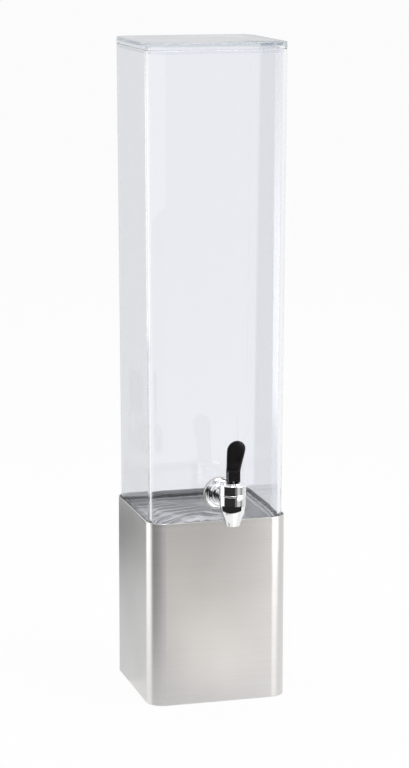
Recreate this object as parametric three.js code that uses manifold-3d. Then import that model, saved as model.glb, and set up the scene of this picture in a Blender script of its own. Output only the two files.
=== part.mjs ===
// A buffet beverage dispenser: a tall clear moulded tank with a loose lid, standing in a
// brushed steel sleeve, with a chrome tap through its front wall. Millimetres, +Z up, front at -Y.
// The origin is the bottom centre of the whole object's bounding box.
import * as THREE from "three";
import { mergeVertices } from "three/addons/utils/BufferGeometryUtils.js";
import Module from "manifold-3d";

const wasm = await Module();
wasm.setup();

// Driving dimensions of the whole object
const tankTopWidth = 184;
const tankCornerRadius = 22;
const tankHeight = 611.4;
const tankDraft = 3.75; // how much each wall leans in from the rim to the foot
const tankWall = 4.5;
const tankFloor = 6;
const baseHeight = 242;
const tankNest = 14; // how far the tank's foot stands below the sleeve's rim
const tankSlot = 2.55; // slot between the tank's foot and the sleeve
const sheet = 1.2; // steel of the sleeve
const lidThickness = 8.3;
const tapReach = 62; // from the tank's front face to the tap's own axis
const shankHeight = 50; // from the tank's foot to the shank's axis
const seatGap = 0.3; // air left between pieces that rest on each other
const runGap = 0.4; // air left between pieces that slide or turn in each other
const overrun = 5; // how far a cutting tool runs past the face it cuts
const weldReach = 1e-4; // corners closer than this are one corner

// Facets of round work
const roundSteps = 40;
const smallRoundSteps = 16;
const cornerSteps = 8;

// Places that several pieces share
const tankTopHalf = tankTopWidth / 2;
const tankFootHalf = tankTopHalf - tankDraft;
const cornerCentre = tankTopHalf - tankCornerRadius;
const sleeveInside = tankFootHalf + tankSlot;
const sleeveHalf = sleeveInside + sheet;
const tankFoot = baseHeight - tankNest;
const tankRim = tankFoot + tankHeight;
const tankWallLean = tankDraft / tankHeight;
const shankLevel = tankFoot + shankHeight;
const frontFace = tankFootHalf + shankHeight * tankWallLean;

// A geometry as a solid, with its faces turned outwards.
function solid(geometry) {
  const bare = geometry.clone();
  bare.deleteAttribute("normal");
  bare.deleteAttribute("uv");
  const merged = mergeVertices(bare, weldReach);
  const corners = [];
  const index = merged.index.array;
  for (let i = 0; i < index.length; i += 3) {
    const [a, b, c] = index.slice(i, i + 3);
    if (a !== b && b !== c && a !== c) corners.push(a, b, c);
  }
  const make = (triangles) =>
    new wasm.Manifold(
      new wasm.Mesh({
        numProp: 3,
        vertProperties: merged.attributes.position.array,
        triVerts: new Uint32Array(triangles),
      }),
    );
  const made = make(corners);
  return made.volume() < 0 ? make(corners.reverse()) : made;
}

// A solid as a geometry.
function geometryOf(body) {
  const { vertProperties, triVerts } = body.getMesh();
  const geometry = new THREE.BufferGeometry();
  geometry.setAttribute("position", new THREE.Float32BufferAttribute(vertProperties, 3));
  geometry.setIndex(new THREE.BufferAttribute(triVerts, 1));
  geometry.computeVertexNormals();
  return geometry;
}

function piece(name, body, material) {
  const mesh = new THREE.Mesh(geometryOf(body), material);
  mesh.name = name;
  return mesh;
}

// Rings of points joined into one skin. A ring of one point is a pole. A skin that is not
// closed on itself starts and ends at a pole.
function skin(rings, closed = false) {
  const points = rings.flat().flatMap((p) => [p.x, p.y, p.z]);
  const starts = rings.map((ring, i) => rings.slice(0, i).flat().length);
  const triangles = [];
  const joins = closed ? rings.length : rings.length - 1;
  for (let i = 0; i < joins; i += 1) {
    const j = (i + 1) % rings.length;
    const count = Math.max(rings[i].length, rings[j].length);
    for (let k = 0; k < count; k += 1) {
      const near = [k, (k + 1) % count].map((n) => starts[i] + (rings[i].length > 1 ? n : 0));
      const far = [k, (k + 1) % count].map((n) => starts[j] + (rings[j].length > 1 ? n : 0));
      if (rings[i].length > 1) triangles.push(near[0], near[1], far[1]);
      if (rings[j].length > 1) triangles.push(near[0], far[1], far[0]);
    }
  }
  const geometry = new THREE.BufferGeometry();
  geometry.setAttribute("position", new THREE.Float32BufferAttribute(points, 3));
  geometry.setIndex(triangles);
  return solid(geometry);
}

// One level outline of a round-cornered square whose sides are `half` from the middle.
function squareRing(half, level) {
  if (half === 0) return [new THREE.Vector3(0, 0, level)];
  const radius = half - cornerCentre;
  const ring = [];
  for (let corner = 0; corner < 4; corner += 1) {
    const start = (corner * Math.PI) / 2;
    const middle = start + Math.PI / 4;
    const centreX = Math.sign(Math.cos(middle)) * cornerCentre;
    const centreY = Math.sign(Math.sin(middle)) * cornerCentre;
    for (let step = 0; step <= cornerSteps; step += 1) {
      const angle = start + (step / cornerSteps) * (Math.PI / 2);
      const x = centreX + radius * Math.cos(angle);
      const y = centreY + radius * Math.sin(angle);
      ring.push(new THREE.Vector3(x, y, level));
    }
  }
  return ring;
}

// What a lathe does, on a round-cornered square: a profile of [half, level] goes round it.
function squareTurn(profile, closed = false) {
  return skin(
    profile.map(([half, level]) => squareRing(half, level)),
    closed,
  );
}

// A quarter round between two directions, as profile points about a centre.
function quarter(centreHalf, centreLevel, radius, from, to, steps = 4) {
  const points = [];
  for (let step = 0; step <= steps; step += 1) {
    const angle = from + ((to - from) * step) / steps;
    points.push([centreHalf + radius * Math.cos(angle), centreLevel + radius * Math.sin(angle)]);
  }
  return points;
}

// Turned work. The profile is [radius, along] and the axis is Y, which `upright` turns to Z.
function turned(profile, steps = roundSteps) {
  const points = profile.map(([radius, along]) => new THREE.Vector2(radius, along));
  return solid(new THREE.LatheGeometry(points, steps));
}

function closedTurned(profile, steps = roundSteps) {
  return turned([...profile, profile[0]], steps);
}

function upright(body) {
  return body.rotate([90, 0, 0]);
}

// A round bar along Y from one place to another.
function barY(radius, from, to, steps = roundSteps) {
  const bar = new THREE.CylinderGeometry(radius, radius, to - from, steps);
  return solid(bar.translate(0, (from + to) / 2, 0));
}

function barZ(radius, from, to, steps = roundSteps) {
  return upright(barY(radius, from, to, steps));
}

function barX(radius, length, steps = smallRoundSteps) {
  const bar = new THREE.CylinderGeometry(radius, radius, length, steps);
  return solid(bar.rotateZ(Math.PI / 2));
}

function hexagonY(acrossFlats, from, to) {
  return barY(acrossFlats / Math.sqrt(3), from, to, 6);
}

// Materials
const finish = (color, roughness, metalness, extra = {}) =>
  new THREE.MeshStandardMaterial({ color, roughness, metalness, ...extra });
const brushedSteel = finish(0xc4c2c0, 0.35, 1);
const plainSteel = finish(0xa9aaab, 0.45, 1);
const chrome = finish(0xe4e6ea, 0.05, 1);
const springSteel = finish(0xb4b6ba, 0.3, 1);
const clearAcrylic = finish(0xf0f4fa, 0.05, 0, { transparent: true, opacity: 0.3 });
const blackPlastic = finish(0x141314, 0.35, 0);
const blackRubber = finish(0x1b1b1c, 0.8, 0);
const paleSilicone = finish(0xe6e4da, 0.5, 0);
const nylon = finish(0xe9e9e4, 0.4, 0);

// Base: a steel sleeve open at both ends, bent from sheet and welded up the back.
function baseSleeve() {
  const footClear = 1; // the sleeve's lower edge hangs just clear of the table
  const profile = [
    [sleeveHalf, footClear],
    [sleeveHalf, baseHeight],
    [sleeveInside, baseHeight],
    [sleeveInside, footClear],
  ];
  return piece("base_sleeve", squareTurn(profile, true), brushedSteel);
}

// The mat is a black rubber tray that the tank stands in, on the shelf.
const mat = { thickness: 3, lip: 7, side: 0.4 };
const shelfTop = tankFoot - seatGap - mat.thickness - seatGap;

function seatMat() {
  const bottom = shelfTop + seatGap;
  const top = bottom + mat.thickness;
  const lipTop = top + mat.lip;
  const profile = [
    [0, bottom],
    [sleeveInside - mat.side, bottom],
    [sleeveInside - mat.side, lipTop],
    [tankFootHalf + runGap, lipTop],
    [tankFootHalf + runGap, top],
    [0, top],
  ];
  return piece("seat_mat", squareTurn(profile), blackRubber);
}

// The shelf is a pressed steel pan, upside down, spot welded inside the sleeve.
const shelf = { gauge: 1.5, skirt: 18 };

function tankShelf() {
  const half = sleeveInside - seatGap;
  const profile = [
    [0, shelfTop - shelf.gauge],
    [half - shelf.gauge, shelfTop - shelf.gauge],
    [half - shelf.gauge, shelfTop - shelf.skirt],
    [half, shelfTop - shelf.skirt],
    [half, shelfTop],
    [0, shelfTop],
  ];
  return piece("tank_shelf", squareTurn(profile), plainSteel);
}

// Feet: in each corner a steel gusset carries a rubber foot on a screw and nut.
const foot = { height: 6.7, radius: 8.6, tipRadius: 7.9, sink: 3.5, sinkRadius: 4.6 };
const footScrew = { radius: 2, headRadius: 4, headHeight: 2.4, socket: 2.5, socketDepth: 1.3 };
const screwCrownShare = 0.7; // flat of the screw's head
const gusset = { leg: 42, gauge: 2 };
const footNut = { across: 7, thickness: 3.2 };
const gussetBottom = foot.height + seatGap;
const gussetTop = gussetBottom + gusset.gauge;
const screwHole = footScrew.radius + seatGap;
const cornerReach = (sleeveInside - seatGap - cornerCentre) / Math.SQRT2;
const footPlace = cornerCentre + cornerReach / 2;

function gussetBody() {
  const half = sleeveInside - seatGap;
  const legEnd = half - gusset.leg;
  const outline = new THREE.Shape();
  outline.moveTo(legEnd, half);
  outline.lineTo(half, legEnd);
  outline.lineTo(half, cornerCentre);
  outline.absarc(cornerCentre, cornerCentre, half - cornerCentre, 0, Math.PI / 2);
  const plate = new THREE.ExtrudeGeometry(outline, {
    depth: gusset.gauge,
    bevelEnabled: false,
    curveSegments: cornerSteps,
  });
  const hole = barZ(screwHole, -overrun, gusset.gauge + overrun, smallRoundSteps);
  return solid(plate)
    .subtract(hole.translate([footPlace, footPlace, 0]))
    .translate([0, 0, gussetBottom]);
}

function footBody() {
  const profile = [
    [foot.sinkRadius, 0],
    [foot.tipRadius, 0],
    [foot.radius, foot.height],
    [screwHole, foot.height],
    [screwHole, foot.sink],
    [foot.sinkRadius, foot.sink],
  ];
  return upright(closedTurned(profile, smallRoundSteps));
}

function screwBody() {
  const bearing = foot.sink - seatGap;
  const end = gussetTop + seatGap + footNut.thickness + footScrew.radius / 2;
  const profile = [
    [0, bearing - footScrew.headHeight],
    [footScrew.headRadius * screwCrownShare, bearing - footScrew.headHeight],
    [footScrew.headRadius, bearing - footScrew.headHeight / 2],
    [footScrew.headRadius, bearing],
    [footScrew.radius, bearing],
    [footScrew.radius, end],
    [0, end],
  ];
  const head = bearing - footScrew.headHeight;
  const socket = hexagonY(footScrew.socket, head - overrun, head + footScrew.socketDepth);
  return upright(turned(profile, smallRoundSteps).subtract(socket));
}

function footNutBody() {
  const bottom = gussetTop + seatGap;
  const blank = hexagonY(footNut.across, bottom, bottom + footNut.thickness);
  return upright(blank.subtract(barY(screwHole, 0, bottom + overrun * 2, smallRoundSteps)));
}

function feet() {
  const group = new THREE.Group();
  for (let corner = 0; corner < 4; corner += 1) {
    const turn = [0, 0, corner * 90];
    const seat = [footPlace, footPlace, 0];
    const number = corner + 1;
    group.add(
      piece(`corner_gusset_${number}`, gussetBody().rotate(turn), plainSteel),
      piece(`rubber_foot_${number}`, footBody().translate(seat).rotate(turn), blackRubber),
      piece(`foot_screw_${number}`, screwBody().translate(seat).rotate(turn), springSteel),
      piece(`foot_nut_${number}`, footNutBody().translate(seat).rotate(turn), springSteel),
    );
  }
  return group;
}

// Tap hardware along the shank. Distances along it are measured from the tap's own axis.
const shank = { radius: 8, bore: 6, pitch: 2, threadDepth: 0.7, end: 4, hole: 8.3 };
const outerWasher = { radius: 21, thickness: 1.6 };
const innerWasher = { radius: 14.5, thickness: 2 };
const shankNut = { across: 27, thickness: 8, flangeRadius: 15, flange: 1.8 };
const escutcheon = { radius: 20.4, rim: 3, edge: 0.6, floor: 4, collar: 9, collarWall: 1.8 };
const arm = { radius: 9.6 };
const innerFace = tapReach + tankWall;
const shankEnd =
  innerFace + innerWasher.thickness + shankNut.thickness + shank.end + 2 * seatGap;

// Tank: one clear moulding with a floor, its walls leaning out a little to the rim.
function tankBody() {
  const footRound = 3;
  const floorRound = 6;
  const floorLevel = tankFoot + tankFloor;
  const outsideAt = (level) => tankFootHalf + (level - tankFoot) * tankWallLean;
  const insideAt = (level) => outsideAt(level) - tankWall;
  const footHalf = outsideAt(tankFoot + footRound);
  const floorHalf = insideAt(floorLevel + floorRound);
  const quarterTurn = Math.PI / 2;
  const profile = [
    [0, tankFoot],
    ...quarter(footHalf - footRound, tankFoot + footRound, footRound, -quarterTurn, 0),
    [tankTopHalf, tankRim],
    [tankTopHalf - tankWall, tankRim],
    ...quarter(floorHalf - floorRound, floorLevel + floorRound, floorRound, 0, -quarterTurn),
    [0, floorLevel],
  ];
  const hole = barY(shank.hole, -tankWall - overrun, overrun, roundSteps);
  const drilled = squareTurn(profile).subtract(hole.translate([0, -frontFace + overrun, shankLevel]));
  return piece("tank", drilled, clearAcrylic);
}

// Lid: a clear plate with a rim that lies on the tank and a lip that drops inside it.
function lidBody() {
  const plate = 4.5;
  const lipDrop = 5.2;
  const lipWidth = 2.5;
  const edgeRound = 1.2;
  const bottom = tankRim + seatGap;
  const top = bottom + lidThickness;
  const lipOutside = tankTopHalf - tankWall - runGap - lipDrop * tankWallLean;
  const lipInside = lipOutside - lipWidth;
  const profile = [
    [0, top - plate],
    [lipInside, top - plate],
    [lipInside, bottom - lipDrop],
    [lipOutside, bottom - lipDrop],
    [lipOutside, bottom],
    [tankTopHalf, bottom],
    ...quarter(tankTopHalf - edgeRound, top - edgeRound, edgeRound, 0, Math.PI / 2),
    [0, top],
  ];
  return piece("lid", squareTurn(profile), clearAcrylic);
}

// Tap body: a hollow bowl that narrows to a spout, with an arm and a threaded shank behind.
// Levels here are measured from the shank's axis.
const bowl = { radius: 16.4, wall: 3.8, top: 11.6, drop: 22.5 };
const spout = { topRadius: 10.3, tipRadius: 9, length: 5, bore: 5.6 };
const neck = { wall: 1.3, height: 10.4 };
const cup = { radius: 8.6, bottomRound: 0.8, height: 7.9, shoulder: 3.8, topRadius: 6.5 };
const seat = { drop: 14, bead: 0.8, beadWidth: 1.2, coneTop: 3 };
const cavityRadius = bowl.radius - bowl.wall;
const neckRadius = cavityRadius + neck.wall;
const neckTop = bowl.top + neck.height;
const seatFloor = -seat.drop;
const seatTop = seatFloor + seat.bead;
const seatRadius = cup.radius + runGap;

function bowlOutside() {
  // How the swell of the bowl runs in to the spout, as shares of its drop and of its narrowing
  const shoulderShare = 0.45;
  const waistShares = [0.3, 0.72];
  const curveSteps = 8;
  const narrowing = bowl.radius - spout.topRadius;
  const spoutTop = -bowl.drop;
  const tip = spoutTop - spout.length;
  const path = new THREE.Path();
  path.moveTo(0, tip);
  path.lineTo(spout.tipRadius, tip);
  path.lineTo(spout.topRadius, spoutTop);
  path.bezierCurveTo(
    spout.topRadius + narrowing * waistShares[0],
    -bowl.drop * waistShares[1],
    bowl.radius,
    -bowl.drop * shoulderShare,
    bowl.radius,
    0,
  );
  path.lineTo(bowl.radius, bowl.top);
  path.lineTo(neckRadius, bowl.top);
  path.lineTo(neckRadius, neckTop);
  path.lineTo(0, neckTop);
  return path.getPoints(curveSteps).map((p) => [p.x, p.y]);
}

function bowlInside() {
  return [
    [0, -bowl.drop - spout.length - overrun],
    [spout.bore, -bowl.drop - spout.length - overrun],
    [spout.bore, seatTop],
    [spout.bore + seat.beadWidth, seatTop],
    [spout.bore + seat.beadWidth, seatFloor],
    [seatRadius, seatFloor],
    [seatRadius, seatTop],
    [cavityRadius, -seat.coneTop],
    [cavityRadius, neckTop + overrun],
    [0, neckTop + overrun],
  ];
}

// The threaded shank: rings of thread stand for the screw, from the wall to its end.
function threadedShank(start) {
  const root = shank.radius - shank.threadDepth;
  const turns = Math.floor((shankEnd - tapReach) / shank.pitch);
  const first = shankEnd - turns * shank.pitch;
  const profile = [
    [0, start],
    [root, start],
    [root, first],
  ];
  for (let turn = 0; turn < turns; turn += 1) {
    const along = first + turn * shank.pitch;
    profile.push([shank.radius, along + shank.pitch / 2], [root, along + shank.pitch]);
  }
  profile.push([0, shankEnd]);
  return turned(profile, smallRoundSteps * 2);
}

const armEnd = tapReach - seatGap - outerWasher.thickness - seatGap - escutcheon.floor - seatGap;

function tapBody() {
  const outside = upright(turned(bowlOutside())).add(barY(arm.radius, 0, armEnd));
  const shankStart = armEnd - overrun;
  const whole = outside.add(threadedShank(shankStart));
  const cavity = upright(turned(bowlInside()));
  const bore = barY(shank.bore, 0, shankEnd + overrun);
  return piece("tap_body", whole.subtract(cavity).subtract(bore), chrome);
}

// Bonnet: the cap that screws over the neck and carries the lever on its flat crown.
const bonnet = { wall: 2.4, height: 14.1, cover: 4, crownRadius: 12.2, crown: 1.9 };
const bonnetBead = { proud: 0.3, height: 1.5 };
const bonnetInside = neckRadius + runGap;
const bonnetRadius = bonnetInside + bonnet.wall;
const bonnetBottom = bowl.top + seatGap;
const bonnetShoulder = bonnetBottom + bonnet.height;
const crownTop = bonnetShoulder + bonnet.crown;
const stemRadius = 2.8;

function bonnetBody() {
  const edge = 1.1;
  const underside = crownTop - bonnet.cover;
  const hole = stemRadius + 2 * runGap;
  const profile = [
    [hole, underside],
    [bonnetInside, underside],
    [bonnetInside, bonnetBottom],
    [bonnetRadius + bonnetBead.proud, bonnetBottom],
    [bonnetRadius + bonnetBead.proud, bonnetBottom + bonnetBead.height],
    [bonnetRadius, bonnetBottom + bonnetBead.height + bonnetBead.proud],
    ...quarter(bonnetRadius - edge, bonnetShoulder - edge, edge, 0, Math.PI / 2, 3),
    [bonnet.crownRadius, bonnetShoulder + bonnetBead.proud],
    [bonnet.crownRadius, crownTop - bonnetBead.proud],
    [bonnet.crownRadius - bonnetBead.proud, crownTop],
    [hole, crownTop],
  ];
  return piece("bonnet", upright(closedTurned(profile)), chrome);
}

// Stem seal: a silicone washer held between the neck and the bonnet.
const sealBottom = neckTop + seatGap;

function stemSeal() {
  const underside = crownTop - bonnet.cover;
  const profile = [
    [stemRadius + runGap, sealBottom],
    [neckRadius, sealBottom],
    [neckRadius, underside - seatGap],
    [stemRadius + runGap, underside - seatGap],
  ];
  return piece("stem_seal", upright(closedTurned(profile, smallRoundSteps * 2)), paleSilicone);
}

// Stem: a rod with a button at its foot, held in the seat cup, and an eye for the lever's pin.
const stemButton = { radius: 4.5, thickness: 1.5, cover: 3.1 };
const eye = { radius: 3.9 };
const pin = { radius: 1.5, inset: 0.4 };
const cam = { rise: 3.6, rest: 5.5, open: 45 }; // rise in mm per radian of lever
const pinLevel = crownTop + seatGap + cam.rest;
const cupBottom = seatTop + seatGap;
const buttonBottom = cupBottom + stemButton.cover + seatGap;
const buttonTop = buttonBottom + stemButton.thickness;

function stemBody() {
  const profile = [
    [0, buttonBottom],
    [stemButton.radius, buttonBottom],
    [stemButton.radius, buttonTop],
    [stemRadius, buttonTop],
    [stemRadius, pinLevel],
    [0, pinLevel],
  ];
  const eyeBody = barX(eye.radius, stemRadius * 2, smallRoundSteps * 2);
  const hole = barX(pin.radius + seatGap, stemRadius * 2 + overrun);
  const body = upright(turned(profile, smallRoundSteps))
    .add(eyeBody.translate([0, 0, pinLevel]))
    .subtract(hole.translate([0, 0, pinLevel]));
  return piece("stem", body, plainSteel);
}

// Seat cup: the silicone plug that closes the spout, moulded round the stem's button.
function seatCup() {
  const top = cupBottom + cup.height;
  const throat = stemRadius + seatGap;
  const profile = [
    [0, cupBottom],
    [cup.radius - cup.bottomRound, cupBottom],
    [cup.radius, cupBottom + cup.bottomRound],
    [cup.radius, cupBottom + cup.shoulder],
    [cup.topRadius, top],
    [throat, top],
    [throat, buttonTop + seatGap],
    [stemButton.radius + seatGap, buttonTop + seatGap],
    [stemButton.radius + seatGap, buttonBottom - seatGap],
    [0, buttonBottom - seatGap],
  ];
  return piece("seat_cup", upright(turned(profile, smallRoundSteps * 2)), paleSilicone);
}

// Spring: pushes the seat cup down from the seal. One open coil of round wire.
function stemSpring() {
  const wire = 0.55;
  const coilRadius = 5.1;
  const turns = 8;
  const sides = 5;
  const stepsPerTurn = 8;
  const low = cupBottom + cup.height + seatGap + wire;
  const high = sealBottom - seatGap - wire;
  const steps = turns * stepsPerTurn;
  const at = (step) => {
    const angle = (step / stepsPerTurn) * Math.PI * 2;
    const level = low + ((high - low) * step) / steps;
    return new THREE.Vector3(coilRadius * Math.cos(angle), coilRadius * Math.sin(angle), level);
  };
  const rings = [[at(0)]];
  for (let step = 0; step <= steps; step += 1) {
    const centre = at(step);
    const outwards = new THREE.Vector3(centre.x, centre.y, 0).normalize();
    const ring = [];
    for (let side = 0; side < sides; side += 1) {
      const angle = (side / sides) * Math.PI * 2;
      const point = centre.clone().addScaledVector(outwards, wire * Math.cos(angle));
      point.z += wire * Math.sin(angle);
      ring.push(point);
    }
    rings.push(ring);
  }
  rings.push([at(steps)]);
  return piece("stem_spring", skin(rings), springSteel);
}

// Lever: a block with a cam foot that rolls on the crown, and a paddle that leans forward.
// Here u runs forward from the pin and v runs up from it.
const block = { width: 15.2, back: 4.2, top: 10.4, edge: 1 };
const paddle = {
  rootWidth: 18.4,
  width: 23.4,
  rootDepth: 10.6,
  depth: 6.4,
  top: 51,
  root: 8.6,
  lean: 16,
  inset: 0.9,
};

// The cam's face at a lever angle: an involute, so that the stem rises evenly.
function camPoint(angle) {
  const support = cam.rest + cam.rise * angle;
  const u = support * Math.sin(angle) + cam.rise * Math.cos(angle);
  const v = -support * Math.cos(angle) + cam.rise * Math.sin(angle);
  return new THREE.Vector2(u, v);
}

const camOpen = THREE.MathUtils.degToRad(cam.open);
const blockFront = camPoint(camOpen).x;

function leverBlock() {
  const outline = new THREE.Shape();
  outline.moveTo(-block.back + block.edge, -cam.rest);
  const camSteps = 10;
  for (let step = 0; step <= camSteps; step += 1) {
    const point = camPoint((camOpen * step) / camSteps);
    outline.lineTo(point.x, point.y);
  }
  outline.lineTo(blockFront, block.top - block.edge);
  outline.lineTo(blockFront - block.edge, block.top);
  outline.lineTo(-block.back, block.top);
  outline.lineTo(-block.back, -cam.rest + block.edge);
  const made = new THREE.ExtrudeGeometry(outline, { depth: block.width, bevelEnabled: false });
  const forward = new THREE.Vector3(0, -1, 0);
  const up = new THREE.Vector3(0, 0, 1);
  const across = new THREE.Vector3(-1, 0, 0);
  made.applyMatrix4(new THREE.Matrix4().makeBasis(forward, up, across));
  return solid(made.translate(block.width / 2, 0, 0));
}

// The paddle's level sections are soft rectangles. Its end closes in a half circle.
function leverPaddle() {
  const levels = 18;
  const aroundSteps = 24;
  const squareness = 2.6;
  const crowding = 1.6; // levels lie closer together towards the round end
  const bow = 0.5; // the paddle leans most at mid height
  const endShare = 1 - paddle.width / 2 / (paddle.top - paddle.root);
  const rings = [];
  for (let step = 0; step <= levels; step += 1) {
    const share = 1 - (1 - step / levels) ** crowding;
    const swell = THREE.MathUtils.smoothstep(share, 0, endShare);
    const past = Math.max(0, (share - endShare) / (1 - endShare));
    const close = Math.sqrt(Math.max(0, 1 - past * past));
    const halfWidth = (close * THREE.MathUtils.lerp(paddle.rootWidth, paddle.width, swell)) / 2;
    const flat = THREE.MathUtils.lerp(paddle.rootDepth, paddle.depth, share);
    const halfDepth = (flat * Math.sqrt(close)) / 2;
    const rootMiddle = blockFront - paddle.inset - paddle.rootDepth / 2;
    const forward = rootMiddle + paddle.lean * share * (1 + bow * share * (1 - share));
    const level = THREE.MathUtils.lerp(paddle.root, paddle.top, share);
    if (step === 0) rings.push([new THREE.Vector3(0, -forward, level)]);
    const ring = [];
    for (let side = 0; side < aroundSteps; side += 1) {
      const angle = (side / aroundSteps) * Math.PI * 2;
      const reach = (value) => Math.sign(value) * Math.abs(value) ** (2 / squareness);
      const x = halfWidth * reach(Math.cos(angle));
      const y = -forward + halfDepth * reach(Math.sin(angle));
      ring.push(new THREE.Vector3(x, y, level));
    }
    rings.push(step === levels ? [new THREE.Vector3(0, -forward, level)] : ring);
  }
  return skin(rings);
}

function leverBody() {
  // The slot is the sweep of the stem's eye and rod through the lever's travel.
  const slotWidth = stemRadius * 2 + 2 * runGap;
  let slot = barX(eye.radius + runGap, slotWidth, smallRoundSteps * 2);
  const sweepSteps = 5;
  for (let step = 0; step <= sweepSteps; step += 1) {
    const angle = (cam.open * step) / sweepSteps;
    const rodHalf = stemRadius + runGap;
    const long = blockFront + cam.rest;
    const rod = new THREE.BoxGeometry(slotWidth, rodHalf * 2, long).translate(0, 0, -long / 2);
    slot = slot.add(solid(rod).rotate([-angle, 0, 0]));
  }
  const hole = barX(pin.radius + seatGap / 2, block.width + overrun);
  const body = leverBlock().add(leverPaddle()).subtract(slot).subtract(hole);
  return piece("handle", body, blackPlastic);
}

function leverPin() {
  return piece("handle_pin", barX(pin.radius, block.width - 2 * pin.inset), springSteel);
}

// Escutcheon: a chromed dish between the tap's arm and the wall, with a collar round the arm.
const escutcheonBack = tapReach - seatGap - outerWasher.thickness - seatGap;

function escutcheonBody() {
  const out = (distance) => escutcheonBack - distance;
  const collarInside = arm.radius + runGap;
  const collarOutside = collarInside + escutcheon.collarWall;
  const shankHole = shank.radius + runGap;
  const dish = escutcheon.radius - collarOutside;
  // The dish between rim and collar: shares of its width inwards, and of the rim's height
  const dishShares = [
    [0.14, 1.0],
    [0.3, 0.93],
    [0.52, 0.6],
    [0.78, 0.72],
    [0.95, 1.25],
    [1.0, 1.8],
  ];
  const profile = [
    [shankHole, out(0)],
    [escutcheon.radius - escutcheon.edge, out(0)],
    [escutcheon.radius, out(escutcheon.edge)],
    [escutcheon.radius, out(escutcheon.rim - escutcheon.edge)],
    [escutcheon.radius - escutcheon.edge, out(escutcheon.rim)],
    ...dishShares.map(([inShare, deepShare]) => [
      escutcheon.radius - dish * inShare,
      out(escutcheon.rim * deepShare),
    ]),
    [collarOutside, out(escutcheon.collar - escutcheon.edge)],
    [collarOutside - escutcheon.edge, out(escutcheon.collar)],
    [collarInside, out(escutcheon.collar)],
    [collarInside, out(escutcheon.floor)],
    [shankHole, out(escutcheon.floor)],
  ];
  return piece("escutcheon", closedTurned(profile), chrome);
}

function washer(name, radius, from, to) {
  const hole = shank.radius + runGap;
  const profile = [
    [hole, from],
    [radius, from],
    [radius, to],
    [hole, to],
  ];
  return piece(name, closedTurned(profile), paleSilicone);
}

function shankNutBody() {
  const start = innerFace + seatGap + innerWasher.thickness + seatGap;
  const end = start + shankNut.thickness;
  const flange = barY(shankNut.flangeRadius, start, start + shankNut.flange);
  const hole = barY(shank.radius + runGap, start - overrun, end + overrun);
  const body = hexagonY(shankNut.across, start, end).add(flange).subtract(hole);
  return piece("shank_nut", body, nylon);
}

function tap() {
  const innerStart = innerFace + seatGap;
  const outerEnd = tapReach - seatGap;
  const lever = new THREE.Group();
  lever.position.z = pinLevel;
  lever.add(leverBody(), leverPin());
  const group = new THREE.Group();
  group.position.set(0, -frontFace - tapReach, shankLevel);
  group.add(
    tapBody(),
    bonnetBody(),
    stemSeal(),
    stemBody(),
    seatCup(),
    stemSpring(),
    lever,
    escutcheonBody(),
    washer("outer_washer", outerWasher.radius, outerEnd - outerWasher.thickness, outerEnd),
    washer("inner_washer", innerWasher.radius, innerStart, innerStart + innerWasher.thickness),
    shankNutBody(),
  );
  return group;
}

const dispenser = new THREE.Group();
dispenser.add(baseSleeve(), tankShelf(), seatMat(), feet(), tankBody(), lidBody(), tap());
dispenser.updateMatrixWorld(true);
const bounds = new THREE.Box3().setFromObject(dispenser);
dispenser.position.y = -(bounds.min.y + bounds.max.y) / 2;

export default dispenser;
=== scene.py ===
import math

import bmesh
import bpy
from mathutils import Matrix, Vector


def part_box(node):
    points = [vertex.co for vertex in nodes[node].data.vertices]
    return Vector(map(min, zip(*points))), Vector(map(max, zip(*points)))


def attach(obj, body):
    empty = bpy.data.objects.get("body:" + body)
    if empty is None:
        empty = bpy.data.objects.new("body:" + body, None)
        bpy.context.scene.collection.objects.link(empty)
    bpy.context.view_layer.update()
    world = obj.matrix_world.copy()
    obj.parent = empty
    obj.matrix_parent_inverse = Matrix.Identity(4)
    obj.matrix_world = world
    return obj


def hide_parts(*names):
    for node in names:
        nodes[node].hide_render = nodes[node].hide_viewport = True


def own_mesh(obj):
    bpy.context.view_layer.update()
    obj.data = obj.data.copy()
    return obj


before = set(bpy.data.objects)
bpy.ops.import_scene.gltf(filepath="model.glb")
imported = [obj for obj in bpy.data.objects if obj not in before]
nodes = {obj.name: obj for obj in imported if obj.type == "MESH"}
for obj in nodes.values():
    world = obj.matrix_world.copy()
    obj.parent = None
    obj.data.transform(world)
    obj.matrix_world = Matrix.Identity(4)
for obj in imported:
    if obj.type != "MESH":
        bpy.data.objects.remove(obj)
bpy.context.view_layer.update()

mm = 0.001

# Sleeve of the base: brushed stainless sheet bent round four corners and butt welded down the
# middle of the back, where the weld is ground flush. Both edges are folded soft, and this one
# piece carries the shelf with the tank on it, and the feet.
sleeve_low, sleeve_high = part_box("base_sleeve")
axis_y = (sleeve_low.y + sleeve_high.y) / 2
sleeve_half = sleeve_high.x
sheet = 1.2 * mm
corner_centre = 70 * mm  # all the square pieces turn their corners about these four lines
corner_steps = 24
ease = 0.4 * mm  # where a flat meets a round, the flat's last strip, which takes up the shading
merge_within = 1e-7


def placed(name, data):
    """A new object in the scene."""
    made = bpy.data.objects.new(name, data)
    bpy.context.scene.collection.objects.link(made)
    return made


def sharpened(piece, sharp_over=35):
    """Smooth shading but for edges over an angle, set afresh after the mesh has changed."""
    piece.data.shade_smooth()
    piece.data.set_sharp_from_angle(angle=math.radians(sharp_over))
    return piece


def made_mesh(name, points, faces):
    """An object from points and faces: doubles merged, faces outwards, smooth but for sharp edges."""
    work = bmesh.new()
    corners = [work.verts.new(point) for point in points]
    for face in faces:
        work.faces.new([corners[i] for i in face])
    bmesh.ops.remove_doubles(work, verts=work.verts, dist=merge_within)
    bmesh.ops.dissolve_degenerate(work, edges=work.edges, dist=merge_within)
    bmesh.ops.recalc_face_normals(work, faces=work.faces)
    data = bpy.data.meshes.new(name)
    work.to_mesh(data)
    work.free()
    return sharpened(placed(name, data))


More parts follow.
